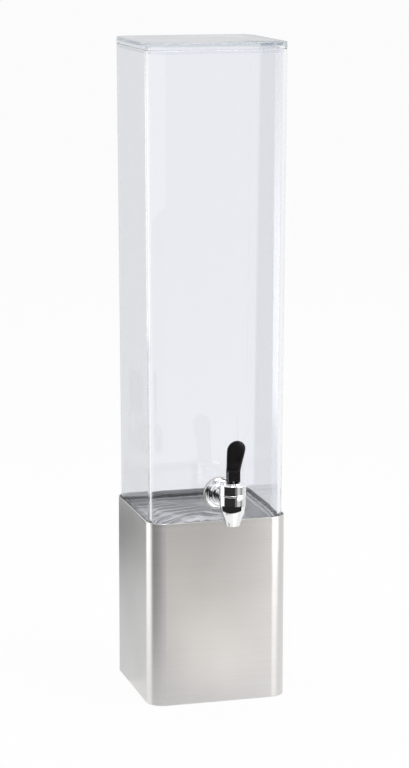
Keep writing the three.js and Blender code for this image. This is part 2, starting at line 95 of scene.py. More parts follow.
def square_ring(half, level):
    """One level outline of a round-cornered square round the base's axis."""
    radius = half - corner_centre
    ring = []
    for corner in range(4):
        start = corner * math.pi / 2
        middle = start + math.pi / 4
        side_x = math.copysign(corner_centre, math.cos(middle))
        side_y = axis_y + math.copysign(corner_centre, math.sin(middle))
        turns = [(step / corner_steps, 0) for step in range(corner_steps + 1)]
        for share, past in [(0, -ease), *turns, (1, ease)]:
            angle = start + share * math.pi / 2
            x = side_x + radius * math.cos(angle) - past * math.sin(angle)
            y = side_y + radius * math.sin(angle) + past * math.cos(angle)
            ring.append((x, y, level))
    return ring


def swept_rings(rings, closed, whole_rings=True):
    """Points and faces of rings joined one to the next. An open skin gets a flat face at each end."""
    around = len(rings[0])
    points = [point for ring in rings for point in ring]
    faces = []
    for i in range(len(rings) if closed else len(rings) - 1):
        j = (i + 1) % len(rings)
        for k in range(around if whole_rings else around - 1):
            n = (k + 1) % around
            faces.append((i * around + k, i * around + n, j * around + n, j * around + k))
    if not closed:
        faces.append(tuple(range(around)))
        faces.append(tuple((len(rings) - 1) * around + k for k in range(around)))
    return points, faces


def eased(profile, closed):
    """The profile with a point near both ends of each long straight, so that flats shade flat."""
    found = []
    for i, here in enumerate(profile):
        found.append(here)
        there = profile[(i + 1) % len(profile)]
        length = math.dist(here, there)
        if length > 4 * ease and (closed or i < len(profile) - 1):
            for share in (ease / length, 1 - ease / length):
                found.append(tuple(a + (b - a) * share for a, b in zip(here, there)))
    return found


def square_turned(name, profile, closed=False):
    """A profile of (half width, level) taken round the round-cornered square."""
    return made_mesh(name, *swept_rings([square_ring(*at) for at in eased(profile, closed)], closed))


def arc(centre, radius, start, end, steps=6):
    """Points of an arc about a centre in the profile plane, angles in degrees."""
    angles = [math.radians(start + (end - start) * i / steps) for i in range(steps + 1)]
    return [(centre[0] + radius * math.cos(a), centre[1] + radius * math.sin(a)) for a in angles]


def new_finish(name, colour, roughness, metallic=0.0):
    """A material whose plain numbers sit on its shader's own sockets."""
    material = bpy.data.materials.new(name)
    material.use_nodes = True
    tree = material.node_tree
    shader = tree.nodes["Principled BSDF"]
    shader.inputs["Base Color"].default_value = (*colour, 1)
    shader.inputs["Roughness"].default_value = roughness
    shader.inputs["Metallic"].default_value = metallic
    return material, tree, shader


def add_node(tree, kind, inputs=None, **settings):
    """A node with its settings, and its inputs given as values or as other nodes' outputs."""
    made = tree.nodes.new(kind)
    for setting, value in settings.items():
        setattr(made, setting, value)
    for socket, value in (inputs or {}).items():
        if isinstance(value, bpy.types.NodeSocket):
            tree.links.new(value, made.inputs[socket])
        else:
            made.inputs[socket].default_value = value
    return made


def worked_out(tree, operation, first, second=0.0):
    """The result of a math node on one or two values."""
    return add_node(tree, "ShaderNodeMath", {0: first, 1: second}, operation=operation).outputs["Value"]


def noise_on(tree, scale=1.0, detail=3.0, stretch=(1, 1, 1)):
    """Noise on the piece's own coordinates, stretched where the real mark runs one way."""
    place = add_node(tree, "ShaderNodeTexCoord").outputs["Object"]
    spread = add_node(tree, "ShaderNodeMapping", {"Vector": place, "Scale": stretch})
    return add_node(
        tree, "ShaderNodeTexNoise",
        {"Vector": spread.outputs["Vector"], "Scale": scale, "Detail": detail},
    ).outputs["Fac"]


def spread_of(tree, value, low, high, from_low=0.3, from_high=0.7, **settings):
    """A value brought to a range of roughness, shade or height. The defaults suit noise."""
    ends = {"From Min": from_low, "From Max": from_high, "To Min": low, "To Max": high}
    return add_node(tree, "ShaderNodeMapRange", {"Value": value, **ends}, **settings).outputs["Result"]


def shaded(tree, shader, colour, shade):
    """The colour made a little lighter and darker by a shade near 1."""
    tint = add_node(tree, "ShaderNodeVectorMath", {0: (*colour,), "Scale": shade}, operation="SCALE")
    tree.links.new(tint.outputs["Vector"], shader.inputs["Base Color"])


def roughened(tree, shader, value):
    tree.links.new(value, shader.inputs["Roughness"])


def bumped(tree, shader, height, strength, distance):
    bump = add_node(
        tree, "ShaderNodeBump", {"Height": height, "Strength": strength, "Distance": distance}
    )
    tree.links.new(bump.outputs["Normal"], shader.inputs["Normal"])


def brushed_steel():
    """Steel brushed level round the sleeve: hair lines, faint clouds and a gloss drawn out upright."""
    colour = (0.70, 0.687, 0.675)
    material, tree, shader = new_finish("brushed steel", colour, roughness=0.33, metallic=1.0)
    shader.inputs["Anisotropic"].default_value = 0.92
    shader.inputs["Anisotropic Rotation"].default_value = 0.25
    round_z = add_node(tree, "ShaderNodeTangent", direction_type="RADIAL", axis="Z")
    tree.links.new(round_z.outputs["Tangent"], shader.inputs["Tangent"])
    grain = noise_on(tree, detail=4.0, stretch=(7, 7, 2600))
    cloud = noise_on(tree, scale=9.0, detail=2.0)
    both = worked_out(tree, "MULTIPLY", grain, cloud)
    shaded(tree, shader, colour, spread_of(tree, both, 0.93, 1.05, from_low=0.12, from_high=0.42))
    roughened(tree, shader, spread_of(tree, grain, 0.29, 0.37))
    bumped(tree, shader, grain, strength=0.16, distance=0.05 * mm)
    return material


fold = sheet / 2
fold_middle = sleeve_half - fold
sleeve_profile = [
    *arc((fold_middle, sleeve_low.z + fold), fold, 180, 360, 8),
    *arc((fold_middle, sleeve_high.z - fold), fold, 0, 180, 8),
]
sleeve = square_turned("steel_sleeve", sleeve_profile, closed=True)
sleeve.data.materials.append(brushed_steel())
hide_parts("base_sleeve")
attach(sleeve, "base")

# Shelf: a steel pan pressed from sheet and spot welded upside down inside the sleeve. It is
# left as it comes from the mill, with faint rolling marks, and it is hidden but from below.


def mill_steel(name, colour, roughness):
    """Steel as rolled or drawn: marks that run one way and patches of lighter and darker skin."""
    material, tree, shader = new_finish(name, colour, roughness, metallic=1.0)
    rolling = noise_on(tree, stretch=(500, 12, 12))
    patches = noise_on(tree, scale=40.0, detail=4.0)
    shaded(tree, shader, colour, spread_of(tree, patches, 0.85, 1.08))
    roughened(tree, shader, spread_of(tree, rolling, roughness - 0.08, roughness + 0.1))
    return material


plain_steel = mill_steel("mill steel", (0.5, 0.505, 0.51), 0.42)
nodes["tank_shelf"].material_slots[0].material = plain_steel

# Feet: in each lower corner a steel gusset carries a rubber foot on a screw and a hexagon nut.
# The gusset is cut from plate and the foot is moulded. One tree turns each of the four parts
# to its corners.
foot_place = 77.248 * mm
foot_centre = (foot_place, foot_place, 0)
screw_radius = 2 * mm
hole_radius = 2.3 * mm
drill_past = 5 * mm  # how far a cutting tool reaches past what it cuts
gusset_low, gusset_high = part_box("corner_gusset_1")
foot_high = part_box("rubber_foot_1")[1]
screw_low, screw_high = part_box("foot_screw_1")
nut_low, nut_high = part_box("foot_nut_1")


def turned_round(name, profile, place, axis="Z", steps=64, closed=False):
    """Lathe work: a profile of (radius, along) about a line along Z, Y or X through a place."""
    rings = []
    for step in range(steps):
        angle = step / steps * math.tau
        ring = []
        for radius, along in eased(profile, closed):
            a, b = radius * math.cos(angle), radius * math.sin(angle)
            local = {"Z": (a, b, along), "Y": (b, along, a), "X": (along, a, b)}[axis]
            ring.append(tuple(place[i] + local[i] for i in range(3)))
        rings.append(ring)
    return made_mesh(name, *swept_rings(rings, True, whole_rings=closed))


def round_rod(name, radius, start, end, place, axis="Z", steps=64):
    """A plain rod about a line along an axis."""
    return turned_round(name, [(0, start), (radius, start), (radius, end), (0, end)], place, axis, steps)


def prism(name, outline, low, high, place=(0, 0, 0), axis="Z"):
    """A flat outline of (a, b) points given thickness along an axis."""
    order = {"Z": (0, 1, 2), "Y": (1, 2, 0), "X": (2, 0, 1)}[axis]
    points = []
    for level in (low, high):
        for a, b in outline:
            local = (a, b, level)
            points.append(tuple(place[i] + local[order[i]] for i in range(3)))
    count = len(outline)
    faces = [tuple(range(count)), tuple(range(count, 2 * count))]
    faces += [(k, (k + 1) % count, count + (k + 1) % count, count + k) for k in range(count)]
    return made_mesh(name, points, faces)


def hexagon(across):
    reach = across / math.sqrt(3)
    return [(reach * math.cos(i * math.pi / 3), reach * math.sin(i * math.pi / 3)) for i in range(6)]


def rounded(corner, radius, start, steps=4, turn=90):
    """The arc that rounds off a profile's corner, from a start angle on, in degrees."""
    facing = math.radians(start + turn / 2)
    centre = (
        corner[0] - math.copysign(radius, math.cos(facing)),
        corner[1] - math.copysign(radius, math.sin(facing)),
    )
    return arc(centre, radius, start, start + turn, steps)


def evaluated_mesh(piece):
    """The mesh that the piece's modifiers make."""
    depsgraph = bpy.context.evaluated_depsgraph_get()
    return bpy.data.meshes.new_from_object(piece.evaluated_get(depsgraph))


def with_modifier(piece, kind, **settings):
    """The piece with one modifier applied to its mesh."""
    modifier = piece.modifiers.new("work", kind)
    for setting, value in settings.items():
        setattr(modifier, setting, value)
    result = evaluated_mesh(piece)
    old = piece.data
    piece.modifiers.clear()
    piece.data = result
    bpy.data.meshes.remove(old)
    return piece


def joined_or_cut(piece, tool, operation):
    """The piece with another solid added to it or cut out of it. The tool is used up."""
    with_modifier(piece, "BOOLEAN", object=tool, operation=operation, solver="EXACT")
    bpy.data.objects.remove(tool)
    return piece


def drilled(piece, radius, start, end, place, axis="Z", steps=64):
    """The piece with a round hole through all of it that lies from start to end along an axis."""
    drill = round_rod("drill", radius, start - drill_past, end + drill_past, place, axis, steps)
    return joined_or_cut(piece, drill, "DIFFERENCE")


def softened(piece, width, segments=2, angle=40):
    """The piece's hard edges given a small round."""
    with_modifier(
        piece, "BEVEL", width=width, segments=segments, limit_method="ANGLE",
        angle_limit=math.radians(angle), use_clamp_overlap=True, harden_normals=False,
    )
    return sharpened(piece)


def corner_tree():
    """Turned copies of what comes in, about the base's axis."""
    tree = bpy.data.node_groups.new("turned to the corners", "GeometryNodeTree")
    add_socket = tree.interface.new_socket
    add_socket("Geometry", in_out="INPUT", socket_type="NodeSocketGeometry")
    for name, kind in (("Corners", "Int"), ("Turn", "Float"), ("Axis", "Vector"), ("Finish", "Material")):
        add_socket(name, in_out="INPUT", socket_type="NodeSocket" + kind)
    add_socket("Geometry", in_out="OUTPUT", socket_type="NodeSocketGeometry")
    given = tree.nodes.new("NodeGroupInput").outputs
    index = add_node(tree, "GeometryNodeInputIndex").outputs["Index"]
    turn = worked_out(tree, "MULTIPLY", index, given["Turn"])
    about = add_node(tree, "ShaderNodeCombineXYZ", {"Z": turn})
    points = add_node(tree, "GeometryNodePoints", {"Count": given["Corners"], "Position": given["Axis"]})
    copies = add_node(
        tree, "GeometryNodeInstanceOnPoints",
        {"Points": points.outputs[0], "Instance": given["Geometry"], "Rotation": about.outputs["Vector"]},
    )
    real = add_node(tree, "GeometryNodeRealizeInstances", {"Geometry": copies.outputs[0]})
    finished = add_node(
        tree, "GeometryNodeSetMaterial", {"Geometry": real.outputs[0], "Material": given["Finish"]}
    )
    result = tree.nodes.new("NodeGroupOutput")
    tree.links.new(finished.outputs[0], result.inputs[0])
    return tree


corners_of_base = corner_tree()


def at_each_corner(one, name, material):
    """One part, made about the axis at the origin, repeated in the base's four corners."""
    modifier = one.modifiers.new("corners", "NODES")
    modifier.node_group = corners_of_base
    values = {"Corners": 4, "Turn": math.pi / 2, "Axis": (0, axis_y, 0), "Finish": material}
    for item in corners_of_base.interface.items_tree:
        if item.in_out == "INPUT" and item.name in values:
            modifier[item.identifier] = values[item.name]
    data = evaluated_mesh(one)
    data.name = name
    bpy.data.objects.remove(one)
    return placed(name, data)


def rubber(name, colour, roughness):
    """Moulded rubber: fine pores, and a skin rubbed lighter and darker in places."""
    material, tree, shader = new_finish(name, colour, roughness)
    shader.inputs["Specular IOR Level"].default_value = 0.35
    pores = noise_on(tree, scale=900.0, detail=2.0)
    wear = noise_on(tree, scale=60.0)
    shaded(tree, shader, colour, spread_of(tree, wear, 0.8, 1.35))
    roughened(tree, shader, spread_of(tree, wear, roughness - 0.1, roughness + 0.08))
    bumped(tree, shader, pores, strength=0.25, distance=0.05 * mm)
    return material


black_rubber = rubber("black rubber", (0.016, 0.016, 0.017), 0.7)

recess_radius = 4.6 * mm  # of the foot's recess, which hides the screw's head
recess_top = 3.5 * mm
recess_edge = 0.4 * mm
tread_radius = 7.9 * mm
tread_edge = 0.5 * mm
belly_radius = 8 * mm
belly_level = 1.2 * mm
shoulder_radius = 8.6 * mm
shoulder_edge = 0.7 * mm
foot_profile = [
    *rounded((recess_radius, 0), recess_edge, 180, 3),
    *rounded((tread_radius, 0), tread_edge, 270, 3),
    (belly_radius, belly_level),
    *rounded((shoulder_radius, foot_high.z), shoulder_edge, 0),
    (hole_radius, foot_high.z),
    (hole_radius, recess_top),
    (recess_radius, recess_top),
]
one_foot = turned_round("one_foot", foot_profile, foot_centre, closed=True)
feet = at_each_corner(one_foot, "rubber_feet", black_rubber)
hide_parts(*[f"rubber_foot_{n}" for n in range(1, 5)])
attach(feet, "base")

gusset_half = gusset_high.x
gusset_side = 42 * mm
gusset_leg = gusset_half - gusset_side
plate_edge = 0.25 * mm
gusset_outline = [(gusset_leg, gusset_half), (gusset_half, gusset_leg)]
gusset_outline += arc((corner_centre, corner_centre), gusset_half - corner_centre, 0, 90, 16)
one_gusset = prism("one_gusset", gusset_outline, gusset_low.z, gusset_high.z)
drill_reach = 20 * mm  # from the table's level up, past the plate
gusset_drill = round_rod("gusset_drill", hole_radius, 0, drill_reach, foot_centre, steps=32)
joined_or_cut(one_gusset, gusset_drill, "DIFFERENCE")
gussets = at_each_corner(softened(one_gusset, plate_edge), "corner_gussets", plain_steel)
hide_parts(*[f"corner_gusset_{n}" for n in range(1, 5)])
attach(gussets, "base")

bright_steel = mill_steel("bright steel", (0.56, 0.57, 0.59), 0.26)
head_radius = 4 * mm
head_face = 2.9 * mm
head_edge = 0.9 * mm
head_height = 2.4 * mm
tip_chamfer = 0.5 * mm
socket_across = 2.5 * mm
socket_depth = 1.3 * mm
screw_profile = [
    (0, screw_low.z),
    (head_face, screw_low.z),
    *rounded((head_radius, screw_low.z), head_edge, 270, 5),
    (head_radius, screw_low.z + head_height),
    (screw_radius, screw_low.z + head_height),
    (screw_radius, screw_high.z - tip_chamfer),
    (screw_radius - tip_chamfer, screw_high.z),
    (0, screw_high.z),
]
one_screw = turned_round("one_screw", screw_profile, foot_centre, steps=32)
socket = prism(
    "screw_socket", hexagon(socket_across), screw_low.z - drill_past, screw_low.z + socket_depth,
    foot_centre,
)
joined_or_cut(one_screw, socket, "DIFFERENCE")
screws = at_each_corner(sharpened(one_screw), "foot_screws", bright_steel)
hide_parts(*[f"foot_screw_{n}" for n in range(1, 5)])
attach(screws, "base")

nut_across = 7 * mm
one_nut = prism("one_nut", hexagon(nut_across), nut_low.z, nut_high.z, foot_centre)
drilled(one_nut, hole_radius, nut_low.z, nut_high.z, foot_centre, steps=32)
foot_nuts = at_each_corner(softened(one_nut, plate_edge), "foot_nuts", bright_steel)
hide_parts(*[f"foot_nut_{n}" for n in range(1, 5)])
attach(foot_nuts, "base")

# Seat mat: a moulded black rubber tray on the shelf. Its soft lip stands round the tank's foot
# and shows as the dark line inside the sleeve's rim.
mat_low, mat_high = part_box("seat_mat")
mat_half = mat_high.x
mat_thickness = 3 * mm
mat_top = mat_low.z + mat_thickness
mat_edge = 0.8 * mm
mat_fillet = 0.6 * mm
lip_inside = 88.65 * mm
lip_round = (mat_half - lip_inside) / 2
plate_middle = 72 * mm  # a plate's flat faces start here, just outside its corners' centres
mat_profile = [
    (plate_middle, mat_low.z),
    *rounded((mat_half, mat_low.z), mat_edge, 270),
    *arc((mat_half - lip_round, mat_high.z - lip_round), lip_round, 0, 180, 8),
    *rounded((lip_inside, mat_top), mat_fillet, 360, turn=-90),
    (plate_middle, mat_top),
]
mat = square_turned("seat_tray", mat_profile)
mat.data.materials.append(black_rubber)
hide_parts("seat_mat")
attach(mat, "base")

# Tank: one clear acrylic moulding, its walls leaning out a little from the foot to the rim so
# that it leaves the mould. The rim is polished round, and a hole for the tap is drilled in front.
tank_low, tank_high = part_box("tank")
tank_wall = 4.5 * mm
tank_floor = 6 * mm
tank_foot_half = 88.25 * mm
tank_lean = (tank_high.x - tank_foot_half) / (tank_high.z - tank_low.z)
foot_round = 3 * mm
floor_round = 6 * mm
rim_round = 1.1 * mm
shank_level = tank_low.z + 50 * mm  # where the tap goes through the front wall
tap_hole_radius = 8.3 * mm


def tank_outside(level):
    return tank_foot_half + (level - tank_low.z) * tank_lean


def clear_acrylic(name, colour, roughness, waves, dimming=0):
    """Clear moulding: how wavy its faces are, and how much it dims what is seen along its sheet."""
    material, tree, shader = new_finish(name, colour, roughness)
    shader.inputs["Transmission Weight"].default_value = 1.0
    shader.inputs["IOR"].default_value = 1.49
    ripple = noise_on(tree, detail=1.0, stretch=(16, 16, 3))
    facing = add_node(tree, "ShaderNodeNewGeometry").outputs["True Normal"]
    up_share = add_node(tree, "ShaderNodeSeparateXYZ", {"Vector": facing}).outputs["Z"]
    flat = worked_out(tree, "ABSOLUTE", up_share)
    amount = spread_of(tree, flat, waves, waves * 0.15, from_low=0, from_high=1)
    smudge = noise_on(tree, scale=30.0)
    dulled = spread_of(tree, smudge, roughness, roughness + 0.02, from_low=0.45, from_high=0.75)
    roughened(tree, shader, dulled)
    bumped(tree, shader, ripple, strength=amount, distance=1 * mm)
    if dimming:
        absorbing = add_node(
            tree, "ShaderNodeVolumeAbsorption", {"Color": (0.79, 0.82, 0.85, 1), "Density": dimming}
        )
        tree.links.new(absorbing.outputs["Volume"], tree.nodes["Material Output"].inputs["Volume"])
    return material


floor_level = tank_low.z + tank_floor
inner_foot = tank_outside(floor_level + floor_round) - tank_wall
rim_outside = tank_high.x
tank_profile = [
    *rounded((tank_outside(tank_low.z + foot_round), tank_low.z), foot_round, 270, 8),
    *rounded((rim_outside, tank_high.z), rim_round, 0, 5),
    *rounded((rim_outside - tank_wall, tank_high.z), rim_round, 90, 5),
    *rounded((inner_foot, floor_level), floor_round, 360, 8, turn=-90),
]
tank = square_turned("clear_tank", tank_profile)
front_y = axis_y - tank_outside(shank_level)
sharpened(drilled(tank, tap_hole_radius, 0, tank_wall, (0, front_y, shank_level), "Y"))
wall_colour = (0.93, 0.94, 0.965)
tank.data.materials.append(clear_acrylic("clear acrylic wall", wall_colour, 0.0, waves=0.05))
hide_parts("tank")
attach(tank, "tank")

# Lid: a loose clear plate with a thick edge that lies on the tank's rim, and a lip that drops
# just inside the walls and keeps it in place. It is moulded of the same acrylic.
lid_low, lid_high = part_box("lid")
lid_bottom = tank_high.z + 0.3 * mm
lid_thickness = 4.5 * mm
lip_outside = 87.07 * mm
lip_width = 2.5 * mm
lid_edge = 1.2 * mm
under_edge = 0.6 * mm
lip_fillet = 0.4 * mm
plate_fillet = 0.8 * mm
lip_back = lip_outside - lip_width
lid_profile = [
    (plate_middle, lid_high.z - lid_thickness),
    *rounded((lip_back, lid_high.z - lid_thickness), plate_fillet, 90, turn=-90),
    *rounded((lip_back, lid_low.z), under_edge, 180),
    *rounded((lip_outside, lid_low.z), under_edge, 270),
    *rounded((lip_outside, lid_bottom), lip_fillet, 180, 3, turn=-90),
    *rounded((lid_high.x, lid_bottom), under_edge, 270),
    *rounded((lid_high.x, lid_high.z), lid_edge, 0, 6),
]
lid = square_turned("clear_lid", lid_profile)
lid_colour = (0.93, 0.937, 0.955)
lid.data.materials.append(clear_acrylic("clear acrylic lid", lid_colour, 0.01, waves=0.04, dimming=8))
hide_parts("lid")
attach(lid, "lid")

# Tap body: a zinc casting, polished and chromed. A hollow bowl narrows to the spout, and an arm
# behind it ends in the threaded shank that goes through the tank's wall. The inside is machined.
tap_low, tap_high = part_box("tap_body")
bowl_radius = 16.4 * mm
tap_place = Vector((0, tap_low.y + bowl_radius, shank_level))
bowl_top = 11.6 * mm
bowl_swell = 0.45 * mm
bowl_edge = 0.7 * mm
bowl_drop = 22.5 * mm
spout_top = 10.3 * mm
spout_tip = 9 * mm
spout_edge = 0.4 * mm
spout_length = 5 * mm
spout_bore = 5.6 * mm
bore_chamfer = 0.5 * mm
neck_radius = 13.9 * mm
neck_top = 22 * mm
cavity_radius = 12.6 * mm
cavity_cone_top = -3 * mm
seat_level = -13.2 * mm  # of the ring round the spout's bore that the seat cup closes on
seat_radius = 6.8 * mm
groove_radius = 9 * mm
groove_depth = 0.8 * mm
arm_radius = 9.6 * mm
arm_end = 55.5 * mm
shank_radius = 8 * mm
shank_core = 7 * mm
shank_bore = 6 * mm
shank_end = tap_high.y - tap_place.y
thread_start = 62 * mm
thread_depth = 0.7 * mm
pitch = 2 * mm
join_past = 1 * mm  # how far two solids that are joined reach into each other


def chrome(name):
    """Polished chrome plate, with a film of water marks and the casting's faint unevenness."""
    colour = (0.86, 0.865, 0.875)
    material, tree, shader = new_finish(name, colour, roughness=0.05, metallic=1.0)
    film = noise_on(tree, scale=120.0)
    roughened(tree, shader, spread_of(tree, film, 0.03, 0.09))
    shaded(tree, shader, colour, spread_of(tree, film, 0.96, 1.03))
    bumped(tree, shader, noise_on(tree, scale=140.0, detail=1.0), strength=0.06, distance=0.2 * mm)
    return material


def bezier(a, b, c, d, steps=20):
    """Points of a curve from a to d that leaves towards b and arrives from c."""
    found = []
    for i in range(steps + 1):
        t = i / steps
        u = 1 - t
        weights = (u ** 3, 3 * u * u * t, 3 * u * t * t, t ** 3)
        found.append(tuple(sum(w * p[k] for w, p in zip(weights, (a, b, c, d))) for k in (0, 1)))
    return found


def threaded(name, length_from, length_to, around=48, rings_to_a_pitch=10):
    """A screw thread: one helical ridge round the shank, worked out ring by ring."""
    count = round((length_to - length_from) / (pitch / rings_to_a_pitch))
    root = shank_radius - thread_depth
    rings = []
    for i in range(count + 1):
        along = length_from + (length_to - length_from) * i / count
        fade = min(1, (length_to - along) / (pitch / 2))
        ring = []
        for k in range(around):
            angle = k / around * math.tau
            turn = (along - length_from) / pitch - k / around
            ridge = 1 - abs(2 * (turn - math.floor(turn)) - 1)
            radius = root + thread_depth * ridge * fade
            x = tap_place.x + radius * math.sin(angle)
            z = tap_place.z + radius * math.cos(angle)
            ring.append((x, tap_place.y + along, z))
        rings.append(ring)
    return made_mesh(name, *swept_rings(rings, False))


tip = -bowl_drop - spout_length
narrowing = bowl_radius - spout_top
bowl_profile = [
    (0, tip),
    *rounded((spout_tip, tip), spout_edge, 270, turn=80),
    *bezier(
        (spout_top, -bowl_drop),
        (spout_top + narrowing * 0.3, -bowl_drop * 0.72),
        (bowl_radius, -bowl_drop * 0.45),
        (bowl_radius, 0),
    ),
    *bezier(
        (bowl_radius, 0),
        (bowl_radius, bowl_top * 0.35),
        (bowl_radius - bowl_swell * 0.3, bowl_top * 0.65),
        (bowl_radius - bowl_swell, bowl_top - bowl_edge),
        8,
    )[1:],
    *rounded((bowl_radius - bowl_swell, bowl_top), bowl_edge, 0, 5)[1:],
    (neck_radius, bowl_top),
    (neck_radius, neck_top),
    (0, neck_top),
]
tap = turned_round("tap_casting", bowl_profile, tap_place, steps=96)
arm_tip = thread_start + join_past
arm_profile = [(0, 0), (arm_radius, 0), (arm_radius, arm_end)]
arm_profile += [(shank_core, arm_end), (shank_core, arm_tip), (0, arm_tip)]
arm = turned_round("tap_arm", arm_profile, tap_place, axis="Y", steps=72)
joined_or_cut(tap, arm, "UNION")
joined_or_cut(tap, threaded("tap_thread", thread_start - join_past, shank_end), "UNION")
cavity_profile = [
    (0, tip - drill_past),
    (spout_bore + bore_chamfer, tip - drill_past),
    (spout_bore + bore_chamfer, tip),
    (spout_bore, tip + bore_chamfer),
    (spout_bore, seat_level),
    (seat_radius, seat_level),
    (seat_radius, seat_level - groove_depth),
    (groove_radius, seat_level - groove_depth),
    (groove_radius, seat_level),
    (cavity_radius, cavity_cone_top),
    (cavity_radius, neck_top + drill_past),
    (0, neck_top + drill_past),
]
joined_or_cut(tap, turned_round("tap_cavity", cavity_profile, tap_place, steps=96), "DIFFERENCE")
bore_drill = round_rod("bore_drill", shank_bore, 0, shank_end + drill_past, tap_place, "Y")
sharpened(joined_or_cut(tap, bore_drill, "DIFFERENCE"), 30)
polished_chrome = chrome("polished chrome")
tap.data.materials.append(polished_chrome)
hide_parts("tap_body")
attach(tap, "tank")

# Bonnet: a chromed cap that screws over the bowl's neck. A bead runs round its foot, and the
# lever's cam rolls on its raised flat crown.
bonnet_low, bonnet_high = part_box("bonnet")
bonnet_bottom = bonnet_low.z - tap_place.z
bonnet_radius = 16.7 * mm
bonnet_inside = 14.3 * mm
bonnet_chamfer = 0.3 * mm
bead_radius = bonnet_high.x
bead_round = 0.5 * mm
bead_middle = bonnet_bottom + 1.2 * mm
bead_top = bonnet_bottom + 1.9 * mm
crown_top = bonnet_high.z - tap_place.z
crown_radius = 12.2 * mm
crown_edge = 0.5 * mm
crown_fillet = 0.4 * mm
shoulder = crown_top - 1.9 * mm
shoulder_round = 1.4 * mm
shoulder_rise = 0.05 * mm
stem_hole = 3.6 * mm
cover = crown_top - 4 * mm  # the level of the cap's underside
bonnet_profile = [
    (stem_hole, cover),
    (bonnet_inside, cover),
    (bonnet_inside, bonnet_bottom + bonnet_chamfer),
    (bonnet_inside + bonnet_chamfer, bonnet_bottom),
    *rounded((bead_radius, bonnet_bottom), bead_round, 270),
    *arc((bead_radius - bead_round, bead_middle), bead_round, 0, 60, 3),
    (bonnet_radius, bead_top),
    *rounded((bonnet_radius, shoulder), shoulder_round, 0, 8),
    (crown_radius + crown_fillet, shoulder + shoulder_rise),
    (crown_radius, shoulder + crown_fillet),
    *rounded((crown_radius, crown_top), crown_edge, 0),
    (stem_hole + bonnet_chamfer, crown_top),
    (stem_hole, crown_top - bonnet_chamfer),
]
bonnet = turned_round("chrome_bonnet", bonnet_profile, tap_place, steps=96, closed=True)
bonnet.data.materials.append(polished_chrome)
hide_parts("bonnet")
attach(bonnet, "tank")

# Stem, seat cup, seal and spring: a drawn steel rod with an eye for the lever's pin, a silicone
# plug moulded on its foot, a silicone washer under the bonnet, and a wire spring between them,
# which in the real tap shortens as the stem rises but is made here at one length.


def silicone(name, colour, through):
    """Cloudy silicone that lets some light through."""
    material, tree, shader = new_finish(name, colour, roughness=0.35)
    shader.inputs["Transmission Weight"].default_value = through
    shader.inputs["IOR"].default_value = 1.41
    shader.inputs["Subsurface Weight"].default_value = 0.2
    shader.inputs["Subsurface Radius"].default_value = (2 * mm, 2 * mm, 1.6 * mm)
    cloud = noise_on(tree, scale=200.0)
    shaded(tree, shader, colour, spread_of(tree, cloud, 0.94, 1.04))
    roughened(tree, shader, spread_of(tree, cloud, 0.28, 0.42))
    return material


pale_silicone = silicone("pale silicone", (0.82, 0.80, 0.73), 0.35)
nodes["stem"].material_slots[0].material = plain_steel
nodes["seat_cup"].material_slots[0].material = pale_silicone
nodes["stem_seal"].material_slots[0].material = pale_silicone

spring_low, spring_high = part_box("stem_spring")
spring_length = spring_high.z - spring_low.z
wire = 0.55 * mm
coil_radius = spring_high.x - wire
coil_turns = 8
coil_steps = 32
wire_sides = 10
closed_pitch = 2.1 * wire  # of the first and the last turn, which lie close
open_pitch = (spring_length - 2 * wire - 2 * closed_pitch) / (coil_turns - 2)
coil_rings = []
for step in range(coil_turns * coil_steps + 1):
    turn = step / coil_steps
    open_turns = min(max(turn - 1, 0), coil_turns - 2)
    level = spring_low.z + wire + open_pitch * open_turns + closed_pitch * (turn - open_turns)
    ring = []
    for side in range(wire_sides):
        round_wire = side / wire_sides * math.tau
        radius = coil_radius + wire * math.cos(round_wire)
        x = radius * math.cos(turn * math.tau)
        y = tap_place.y + radius * math.sin(turn * math.tau)
        ring.append((x, y, level + wire * math.sin(round_wire)))
    coil_rings.append(ring)
spring = made_mesh("return_spring", *swept_rings(coil_rings, False))
spring.data.materials.append(bright_steel)
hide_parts("stem_spring")
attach(spring, "tank")
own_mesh(spring)

# Lever: moulded in one piece of black plastic. A block with a cam foot stands on the crown, and
# a paddle for the thumb leans forward from it. The pin hole and the stem's slot are cored out.
pin_low, pin_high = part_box("handle_pin")
pin_place = Vector((0, (pin_low.y + pin_high.y) / 2, (pin_low.z + pin_high.z) / 2))
block_width = 15.2 * mm
block_back = 4.2 * mm
block_top = 10.4 * mm
block_edge = 1 * mm
cam_rest = 5.5 * mm
cam_rise = 3.6 * mm  # for each radian of tilt
cam_open = math.radians(45)
cam_steps = 16
paddle_root = 8.6 * mm
paddle_root_width = 18.4 * mm
paddle_root_depth = 10.6 * mm
paddle_top = 51 * mm
paddle_width = 23.4 * mm
paddle_depth = 6.4 * mm
paddle_lean = 16 * mm
paddle_inset = 0.9 * mm
paddle_power = 2.6  # 2 would make its section an ellipse, and more squares it
paddle_levels = 60
paddle_around = 64
crowding = 1.8  # how much the rings crowd together at the paddle's round end
voxel = 0.4 * mm  # fine enough for the paddle and the block to melt into one moulding
stem_radius = 2.8 * mm
eye_radius = 3.9 * mm
eye_room = 0.4 * mm  # between the stem's eye and the slot round it
pin_hole_radius = 1.65 * mm
sweep_steps = 6


def cam_point(angle):
    """The cam's face at a tilt: an involute, so that the stem rises evenly."""
    support = cam_rest + cam_rise * angle
    forward = support * math.sin(angle) + cam_rise * math.cos(angle)
    return forward, -support * math.cos(angle) + cam_rise * math.sin(angle)


def smooth_share(share, end):
    """0 to 1 as the share goes from 0 to its end, eased at both."""
    t = min(1, max(0, share / end))
    return t * t * (3 - 2 * t)


